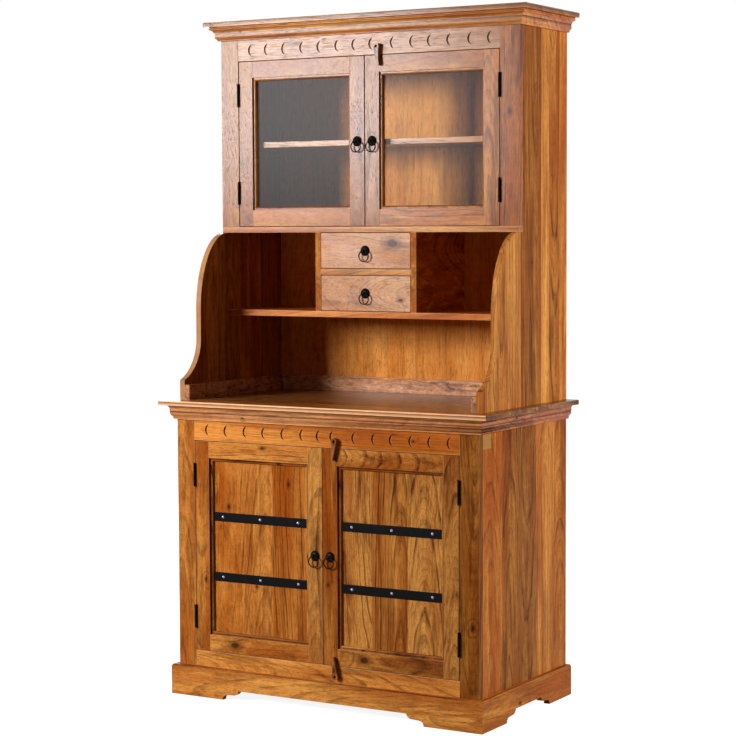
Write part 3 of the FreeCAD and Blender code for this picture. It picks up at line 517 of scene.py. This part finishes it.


# %% Boards picked from the stack, some set darker as painted shade
# Lightness, redness and strength of figure of the boards that matter most, by node and solid. The upper front
# and the latches are set darker than their wood as painted shade.
board_tones_and_shade = {
    ("base_stiles", 0): (0.3, 0.3, 0.6),
    ("base_stiles", 1): (-1.1, 0.7, 0.8),
    ("base_frieze_rail", 0): (1.1, 0.3, 0.4),
    ("base_bottom_rail", 0): (0.9, 0.2, 0.6),
    ("plinth_front", 0): (1.1, 0.0, 0.5),
    ("plinth_sides", 1): (0.9, 0.3, 0.5),
    ("hutch_stiles", 0): (-1.1, 0.2, 0.4),
    ("hutch_stiles", 1): (-0.8, 1.3, 1.0),
    ("hutch_frieze_rail", 0): (-0.8, 0.3, 0.4),
    ("cornice_board", 0): (0.2, 0.0, 0.6),
    ("cornice_moulding", 1): (0.0, -0.2, 0.5),
    ("cornice_moulding", 2): (1.2, 0.4, 0.6),
    ("counter_moulding", 1): (0.4, 0.4, 0.6),
    ("counter_moulding", 2): (-0.2, 1.6, 0.6),
    ("drawer_upper_front", 0): (-0.1, 0.3, 0.5),
    ("drawer_lower_front", 0): (-0.1, 0.1, 0.5),
    ("counter_skirting", 2): (0.5, 0.4, 0.9),
    ("niche_shelf", 0): (0.5, 0.6, 0.4),
    ("hutch_shelf", 0): (-0.6, 0.5, 0.5),
    ("latch_upper", 0): (-0.6, 0.0, 0.5),
    ("latch_lower_top", 0): (-0.9, 0.0, 0.5),
    ("latch_lower_bottom", 0): (-0.9, 0.0, 0.5),
    ("upper_door_left_frame", 0): (-1.0, 0.4, 0.3),
    ("upper_door_left_frame", 1): (-1.1, 0.3, 0.4),
    ("upper_door_left_frame", 2): (-0.2, 0.3, 0.3),
    ("upper_door_left_frame", 3): (-0.9, 0.4, 0.3),
    ("upper_door_right_frame", 0): (-1.0, 0.3, 0.4),
    ("upper_door_right_frame", 1): (0.0, 0.2, 0.7),
    ("upper_door_right_frame", 2): (0.3, 0.2, 0.9),
    ("upper_door_right_frame", 3): (-0.4, 0.3, 0.5),
    ("lower_door_left_frame", 0): (0.3, -0.2, 0.5),
    ("lower_door_left_frame", 1): (0.1, 0.3, 0.5),
    ("lower_door_left_frame", 2): (0.4, 0.2, 0.6),
    ("lower_door_left_frame", 3): (0.9, 0.2, 0.8),
    ("lower_door_right_frame", 0): (-0.4, 0.5, 0.6),
    ("lower_door_right_frame", 1): (-0.2, 0.0, 0.8),
    ("lower_door_right_frame", 2): (-0.1, 0.3, 0.8),
    ("lower_door_right_frame", 3): (0.1, 0.3, 0.9),
}
# The glazing beads of the upper doors, solids four to seven, are set darker: painted shade.
for side in ("left", "right"):
    for index in range(4, 8):
        board_tones_and_shade[f"upper_door_{side}_frame", index] = (-0.8, 0.3, 0.5)

# %% [markdown]
# ## The carcase
# The sides and the door panels are glued up from planks about a hand wide. The seams are flush,
# and only the jump in figure and colour shows them, so the panel stays one flat piece: it is cut
# at each seam for the sake of the grain alone.

# %% Panels glued up from planks
side_seams = {
    "base_side_right": [-0.120, 0.004, 0.096, 0.218],
    "base_side_left": [-0.135, -0.015, 0.110, 0.205],
    "hutch_side_right": [-0.004, 0.127, 0.180, 0.249],
    "hutch_side_left": [-0.139, -0.064, -0.021, 0.057, 0.170],
}
side_tones = {
    "base_side_right": [(0.9, 0.4, 0.5), (-0.4, 0.5, 0.9), (-0.6, 0.3, 0.7), (1.2, 0.0, 0.4),
                        (0.6, 0.4, 0.6)],
    "hutch_side_right": [(1.3, -0.2, 0.7), (-0.3, 0.3, 0.8), (1.4, -0.1, 0.4), (0.3, 0.4, 0.8),
                         (1.1, 0.3, 0.4)],
    "hutch_side_left": [(-0.6, 0.2, 0.6), (-0.4, 0.1, 0.5), (-0.7, 0.2, 0.7)],
}
side_patch = (-0.240, 0.786), (-0.188, 0.880)
# The left hutch side's front edge is painted pale: a painted highlight.
for node, seams in side_seams.items():
    dress(node, dry_wood, along=Z, seams=seams, tones=side_tones.get(node, ()),
          painted_front_highlight=node == "hutch_side_left",
          patch=side_patch if node == "base_side_right" else None)
dress("lower_door_left_panel", dry_wood, along=Z, seams=[-0.294, -0.180],
      tones=[(0.2, 0.6, 0.5), (0.4, 0.3, 0.6), (0.1, 0.5, 0.9)],
      knots={0: (0.01, 0.12, 5 * MM), 1: (0.0, -0.11, 4 * MM), 2: (-0.01, 0.20, 5 * MM)})
dress("lower_door_right_panel", dry_wood, along=Z, seams=[0.155, 0.273],
      tones=[(0.3, -0.1, 0.9), (0.0, 0.2, 1.0), (0.4, -0.2, 0.9)])
# The countertop's front plank is set lighter and its lip painted pale: a painted highlight.
dress("countertop", counter_wood, along=X, seams=[-0.18, -0.05, 0.09, 0.2], knots={0: (0.02, 0.36, 9 * MM)},
      tones=[(1.4, 0.3, 0.7), (0.4, 0.2, 0.8), (0.2, 0.2, 0.8), (0.5, 0.1, 0.7), (0.0, 0.3, 0.8)],
      painted_front_highlight=True)
for node in ("base_back", "hutch_back"):
    dress(node, veneer, along=Z, arris=0.3 * MM, seams=[0.0], tones=[(0.0, 0.0, 0.35)])
print("panels dressed")

# %% The rest of the joinery
waxed_boards = [
    "hutch_stiles", "hutch_bottom_rail", "hutch_shelf", "niche_shelf", "drawer_rail", "cornice_board",
    "latch_upper", "latch_lower_top", "latch_lower_bottom",
]
dry_boards = [
    "base_stiles", "base_frieze_rail", "base_bottom_rail", "base_floor", "base_shelf", "base_rear_rail",
    "plinth_front", "plinth_sides", "plinth_blocks", "hutch_floor", "niche_dividers", "cleats_and_stops",
    "drawer_upper_box", "drawer_lower_box",
]
board_knots = {
    "drawer_upper_front": {0: (0.022, 0.092, 13 * MM)},
    "base_frieze_rail": {0: (-0.02, 0.30, 3 * MM)},
    "hutch_stiles": {1: (0.0, 0.02, 6 * MM)},
}
for node in waxed_boards:
    dress(node, acacia, knots=board_knots.get(node))
for node in dry_boards:
    dress(node, dry_wood, knots=board_knots.get(node))
for node in ("hutch_frieze_rail", "drawer_upper_front", "drawer_lower_front"):
    dress(node, rosy_and_sheen, knots=board_knots.get(node))
dress("counter_skirting", burl)
for node, finish in (("counter_moulding", strip_wood), ("cornice_moulding", acacia)):
    dress(node, finish, arris=0.3 * MM, shortest=20 * MM)
for side in ("left", "right"):
    dress(f"upper_door_{side}_frame", acacia, arris=0.6 * MM)
    dress(f"lower_door_{side}_frame", dry_wood, arris=0.6 * MM, knots={2: (0.0, -0.085, 10 * MM)})
print("boards dressed")

# %% [markdown]
# ## Black iron
# The ring pulls, straps, nails and hinges are forged iron with a satin black lacquer. The drawing
# keeps them as coarse polygons. A lathe shape is remade here by spinning its profile, which gives
# as many sides as the light needs.

# %% Iron recipe
def iron(name, dark, rusty, gloss=0.3, shine=0.05, bare=0.0):
    recipe = material(name)
    here = recipe.node("ShaderNodeTexCoord", None, None, output="Object")
    dents = recipe.noise(here, (160, 160, 160), detail=2.0)
    smear = recipe.noise(here, (45, 45, 45), detail=3.0)
    colour = recipe.mix(smear.ramp(0.45, 0.8), paint(dark), paint(rusty))
    return recipe.finish(recipe.surface(
        Base_Color=colour,
        Roughness=gloss + smear * 0.16,
        Specular_IOR_Level=shine,
        Metallic=bare,
        Normal=recipe.bump(dents, 0.0001),
    ))


black_iron = iron("black_iron", "070708", "120e0c")
ring_iron = iron("ring_iron", "0e0806", "1e120d", gloss=0.44, shine=0.05)
nail_iron = iron("nail_iron", "8c889a", "74707a", gloss=0.22, bare=0.86)

# %% Spinning a profile
def spun(profile, place, axis, steps):
    """Spin a profile of (radius, distance along the axis) a full turn about an axis through place."""
    solid = bmesh.new()
    points = [solid.verts.new((radius, 0, along)) for radius, along in profile]
    lines = [solid.edges.new(pair) for pair in zip(points, points[1:])]
    bmesh.ops.spin(solid, geom=points + lines, cent=(0, 0, 0), axis=(0, 0, 1), angle=math.tau,
                   steps=steps, use_merge=True)
    bmesh.ops.remove_doubles(solid, verts=solid.verts, dist=1e-7)
    bmesh.ops.recalc_face_normals(solid, faces=solid.faces)
    turn = Vector((0, 0, 1)).rotation_difference(Vector(axis)).to_matrix().to_4x4()
    bmesh.ops.transform(solid, matrix=Matrix.Translation(place) @ turn, verts=solid.verts)
    return solid


def arc(centre, radius, start, end, steps):
    """Points of a profile along an arc, with angles in degrees."""
    angles = [math.radians(start + (end - start) * index / steps) for index in range(steps + 1)]
    return [(centre[0] + radius * math.cos(a), centre[1] + radius * math.sin(a)) for a in angles]


def box(low, high, arris):
    """A plain bar with rounded arrises."""
    solid = bmesh.new()
    low, high = Vector(low), Vector(high)
    shape = Matrix.Translation((low + high) / 2) @ Matrix.Diagonal((high - low).to_4d())
    bmesh.ops.create_cube(solid, size=1.0, matrix=shape)
    bmesh.ops.bevel(solid, geom=solid.edges[:], offset=arris, offset_type="OFFSET", segments=2,
                    profile=0.5, affect="EDGES", clamp_overlap=True, material=-1)
    return solid


FRONT = (0, -1, 0)

# %% Nails, rosettes and rings
def domed_nail(face_y, x, z, radius, height, shank_radius, shank_length):
    """A hand-made nail: a domed head on a plain shank."""
    sphere = (radius ** 2 + height ** 2) / (2 * height)
    sweep = math.degrees(math.asin(radius / sphere))
    head = arc((0, height - sphere), sphere, 90, 90 - sweep, 6)
    profile = head + [(shank_radius, 0), (shank_radius, -shank_length), (0, -shank_length)]
    return spun(profile, (x, face_y, z), FRONT, 24)


rosette_radius, rosette_rim, rosette_height = 15.5 * MM, 1.2 * MM, 7.0 * MM
rosette_shank_radius, rosette_shank_length = 2.5 * MM, 13.0 * MM
eye_outside, eye_inside, eye_width, eye_reach = 4.6 * MM, 2.1 * MM, 4.4 * MM, 9.6 * MM


def rosette(solid):
    """A domed back plate with a turned rim, a neck and the eye that the ring hangs in."""
    low, high = extent(solid)
    x, z = (low.x + high.x) / 2, (low.z + high.z) / 2
    face = high.y - rosette_shank_length
    edge = rosette_radius
    crown = [(edge * 0.90 * math.sin(a), rosette_rim + (rosette_height - rosette_rim) * math.cos(a))
             for a in (math.radians(90 * index / 10) for index in range(11))]
    rim = [(edge - 0.5 * MM, rosette_rim), (edge, rosette_rim * 0.6), (edge, 0)]
    back = [(rosette_shank_radius, 0), (rosette_shank_radius, -rosette_shank_length),
            (0, -rosette_shank_length)]
    plate = spun(crown + rim + back, (x, face, z), FRONT, 48)
    soft = 0.7 * MM
    half = eye_width / 2
    section = [(eye_inside + soft, half), (eye_outside - soft, half), (eye_outside, half - soft),
               (eye_outside, soft - half), (eye_outside - soft, -half), (eye_inside + soft, -half),
               (eye_inside, soft - half), (eye_inside, half - soft)]
    eye = spun(section + section[:1], (x, face - eye_reach, z), (1, 0, 0), 24)
    neck_low = (x - half * 0.8, face - eye_reach + eye_inside + 0.6 * MM, z - 1.8 * MM)
    neck_high = (x + half * 0.8, face - rosette_height * 0.6, z + 1.8 * MM)
    return [plate, eye, box(neck_low, neck_high, 0.5 * MM)]


ring_radius, wire_radius = 16 * MM, 1.8 * MM
for node in [n for n in frame["nodes"] if n.startswith("ring_")]:
    low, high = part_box(node)
    loop = arc((ring_radius, 0), wire_radius, 0, 360, 16)
    solid = spun(loop, (low + high) / 2, FRONT, 64)
    piece = piece_from([solid], f"{node}_iron", frame["nodes"][node]["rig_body"], ring_iron)
    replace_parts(piece, node)
for name in ("upper", "lower"):
    node = f"drawer_{name}_rosette"
    body = frame["nodes"][node]["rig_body"]
    piece = piece_from(rosette(solids_of(node)[0]), f"{node}_iron", body, black_iron)
    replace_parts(piece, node)
print("ring pulls made")

# %% [markdown]
# ## Butt hinges
# Each hinge is two leaves let in between door and frame, whose knuckles wrap a pin in front of
# the face. Only the barrel shows while the door is shut. The knuckle's bore is wider than the
# pin, and its arm starts in the wall of the knuckle, so nothing touches the pin as it turns.

# %% Hinge halves
leaf_thickness, leaf_depth, pin_radius, stand_off = 1.1 * MM, 18 * MM, 1.6 * MM, 3.7 * MM
knuckle_radius, knuckle_gap, pin_play = 3.5 * MM, 0.2 * MM, 0.15 * MM
bore_radius = pin_radius + pin_play
arm_start = 2.2 * MM


def knuckle(x, y, low, high):
    """One barrel of the hinge, with a small chamfer at both ends."""
    chamfer = 0.4 * MM
    profile = [(bore_radius, low), (knuckle_radius - chamfer, low), (knuckle_radius, low + chamfer),
               (knuckle_radius, high - chamfer), (knuckle_radius - chamfer, high), (bore_radius, high),
               (bore_radius, low)]
    return spun(profile, (x, y, 0), (0, 0, 1), 24)


def hinge_half(solid, carried):
    """Remake one half of a hinge. The frame's half carries the outer knuckles and the pin."""
    low, high = extent(solid)
    x, front = (low.x + high.x) / 2, high.y - leaf_depth
    y = front - stand_off
    outward = math.copysign(1, x)
    third = (high.z - low.z) / 3
    middle = (low.z + third + knuckle_gap / 2, high.z - third - knuckle_gap / 2)
    ends = [(low.z, low.z + third - knuckle_gap / 2), (high.z - third + knuckle_gap / 2, high.z)]
    spans = ends if carried == "frame" else [middle]
    side = outward if carried == "frame" else -outward
    outer, inner = x + side * 1.3 * MM, x + side * (1.3 * MM - leaf_thickness)
    reach = sorted((inner, outer))
    pieces = [box((reach[0], front, low.z), (reach[1], front + leaf_depth, high.z), 0.2 * MM)]
    for span in spans:
        near, far = (reach[0], y + arm_start, span[0]), (reach[1], front + 0.5 * MM, span[1])
        pieces.append(box(near, far, 0.2 * MM))
        pieces.append(knuckle(x, y, *span))
    if carried == "frame":
        pin = [(0, low.z), (pin_radius, low.z), (pin_radius, high.z), (0, high.z)]
        pieces.append(spun(pin, (x, y, 0), (0, 0, 1), 16))
    return pieces


frame_halves = [part for solid in solids_of("hinge_frame_leaves") for part in hinge_half(solid, "frame")]
piece = piece_from(frame_halves, "hinge_frame_leaves_iron", "root", black_iron)
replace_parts(piece, "hinge_frame_leaves")
for level in ("upper", "lower"):
    for side in ("left", "right"):
        node = f"{level}_door_{side}_hardware"
        hinges, pull = solids_of(node)[:2], solids_of(node)[2]
        parts = [part for solid in hinges for part in hinge_half(solid, "door")] + rosette(pull)
        piece = piece_from(parts, f"{node}_iron", frame["nodes"][node]["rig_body"], black_iron)
        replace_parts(piece, node)
print("hinges made")

# %% [markdown]
# ## Straps and nails
# Two flat bars cross each lower panel. They hold nothing: they are dress, nailed on with domed
# heads that catch the light.

# %% Straps
strap_nail = {"radius": 4.5 * MM, "height": 2.6 * MM, "shank_radius": 1.5 * MM, "shank_length": 9 * MM}
for side in ("left", "right"):
    node = f"lower_door_{side}_straps"
    body = frame["nodes"][node]["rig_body"]
    bars, nails = [], []
    for solid in solids_of(node):
        low, high = extent(solid)
        if high.x - low.x > 50 * MM:
            bars.append(box(low, high, 1.1 * MM))
        else:
            face = low.y + strap_nail["height"]
            nails.append(domed_nail(face, (low.x + high.x) / 2, (low.z + high.z) / 2, **strap_nail))
    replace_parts(piece_from(bars, f"{node}_bars", body, black_iron), node)
    piece_from(nails, f"{node}_nails", body, nail_iron)

latch_nail = {"radius": 4.0 * MM, "height": 2.5 * MM, "shank_radius": 2.0 * MM, "shank_length": 28.8 * MM}
parts = []
for solid in solids_of("latch_nails"):
    low, high = extent(solid)
    face = low.y + latch_nail["height"]
    parts.append(domed_nail(face, (low.x + high.x) / 2, (low.z + high.z) / 2, **latch_nail))
piece = piece_from(parts, "latch_nails_iron", "root", black_iron)
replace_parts(piece, "latch_nails")
print("straps and nails made")

# %% [markdown]
# ## The panes
# Window glass lets nearly all the light through and mirrors a little, more so at a slant. A
# refracting shader would shut the lamps out of the hutch, so the pane is a transparent shader
# with a faint mirror mixed in by the angle. The mirror is soft, as on old glass that isn't flat,
# and weaker than on real glass, because a wholly white room would veil the shelf behind it.

# %% Glass recipe
def glass(name):
    recipe = material(name)
    facing = recipe.node("ShaderNodeLayerWeight", None, {"Blend": 0.5}, output="Facing")
    mirror = 0.0038 + (facing ** 6.0) * 0.9
    clear = recipe.node("ShaderNodeBsdfTransparent", None, {"Color": (0.985, 0.99, 0.985, 1.0)})
    shine = recipe.surface(Base_Color=(0.9, 0.9, 0.9, 1.0), Metallic=1.0, Roughness=0.32)
    return recipe.finish(recipe.node("ShaderNodeMixShader", None, {0: mirror, 1: clear, 2: shine}))


clear_glass = glass("clear_glass")
for side in ("left", "right"):
    node = f"upper_door_{side}_glass"
    solid = sanded(solids_of(node)[0], 0.3 * MM, 4 * MM)
    piece = piece_from([solid], f"{node}_pane", frame["nodes"][node]["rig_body"], clear_glass)
    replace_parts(piece, node)

# %% [markdown]
# ## Floor and light
# A plain pale floor in a white room. For the camera, and in metal and glass, the room is white;
# the light that it gives is a soft fill. The main lamp is a large soft box on the left, whose
# reflection pales the upper front. A weaker one lights the right side, and a third the back. Each
# lamp both lights the piece and shows in its gloss, so the finishes hold under other light.

# %% Floor
def seen_directly(recipe):
    """1 for the camera, for mirrors and for what glass lets through; 0 for light that falls on things."""
    rays = [recipe.node("ShaderNodeLightPath", None, None, output=f"Is {kind} Ray")
            for kind in ("Camera", "Glossy", "Transmission")]
    return rays[0].sum("MAXIMUM", *rays)


def floor_paint(name):
    recipe = material(name)
    here = recipe.node("ShaderNodeTexCoord", None, None, output="Object")
    away = recipe.node("ShaderNodeVectorMath", {"operation": "LENGTH"}, {0: here}, output="Value")
    # The floor's glow is dimmer near the piece, 0.9 rising to white from 0.8 to 2.2 m out: a painted shade
    # around the piece, which lets its real shadow show.
    floor_glow = recipe.mix(away.ramp(0.8, 2.2), (0.90, 0.90, 0.90, 1), (1, 1, 1, 1))
    white = recipe.node("ShaderNodeEmission", None, {"Color": floor_glow, "Strength": 1.0})
    shaded = recipe.node("ShaderNodeBsdfDiffuse", None, {"Color": (0.42, 0.42, 0.42, 1)})
    plain = recipe.node("ShaderNodeBsdfDiffuse", None, {"Color": (0.20, 0.19, 0.18, 1)})
    bright = recipe.node("ShaderNodeAddShader", None, {0: white, 1: shaded})
    chosen = recipe.node("ShaderNodeMixShader", None, {0: seen_directly(recipe), 1: plain, 2: bright})
    return recipe.finish(chosen)


ground = bmesh.new()
bmesh.ops.create_grid(ground, x_segments=1, y_segments=1, size=30.0)
bmesh.ops.translate(ground, vec=(0, 0, -0.0005), verts=ground.verts)
ground_mesh = bpy.data.meshes.new("floor")
ground.to_mesh(ground_mesh)
ground.free()
ground_mesh.materials.append(floor_paint("floor_paint"))
floor = bpy.data.objects.new("floor", ground_mesh)
bpy.context.scene.collection.objects.link(floor)

# %% Room
fill_light = 0.045
room = Recipe(bpy.data.worlds.new("room"))
bpy.context.scene.world = room.owner
dim = room.node("ShaderNodeBackground", None, {"Color": (1, 1, 1, 1), "Strength": fill_light})
bright = room.node("ShaderNodeBackground", None, {"Color": (1, 1, 1, 1), "Strength": 1.0})
sky = room.node("ShaderNodeMixShader", None, {0: seen_directly(room), 1: dim, 2: bright})
room.finish(sky, "ShaderNodeOutputWorld")

# %% Lamps
def soft_box(name, place, target, size, watts):
    """A rectangular lamp that the camera doesn't see."""
    lamp = bpy.data.lights.new(name, "AREA")
    lamp.shape = "RECTANGLE"
    lamp.size, lamp.size_y = size
    lamp.energy = watts
    stand = bpy.data.objects.new(name, lamp)
    aim = (Vector(target) - Vector(place)).to_track_quat("-Z", "Y")
    stand.matrix_world = Matrix.Translation(place) @ aim.to_matrix().to_4x4()
    stand.visible_camera = False
    bpy.context.scene.collection.objects.link(stand)
    return stand


soft_box("key_light", (-2.5, -3.7, 2.1), (0, 0, 1.2), (1.4, 1.2), 222)
soft_box("side_light", (4.2, 1.3, 1.8), (0.5, 0, 1.0), (2.0, 2.0), 135)
soft_box("back_light", (-3.0, 3.2, 2.4), (0, 0, 1.1), (2.0, 2.0), 110)
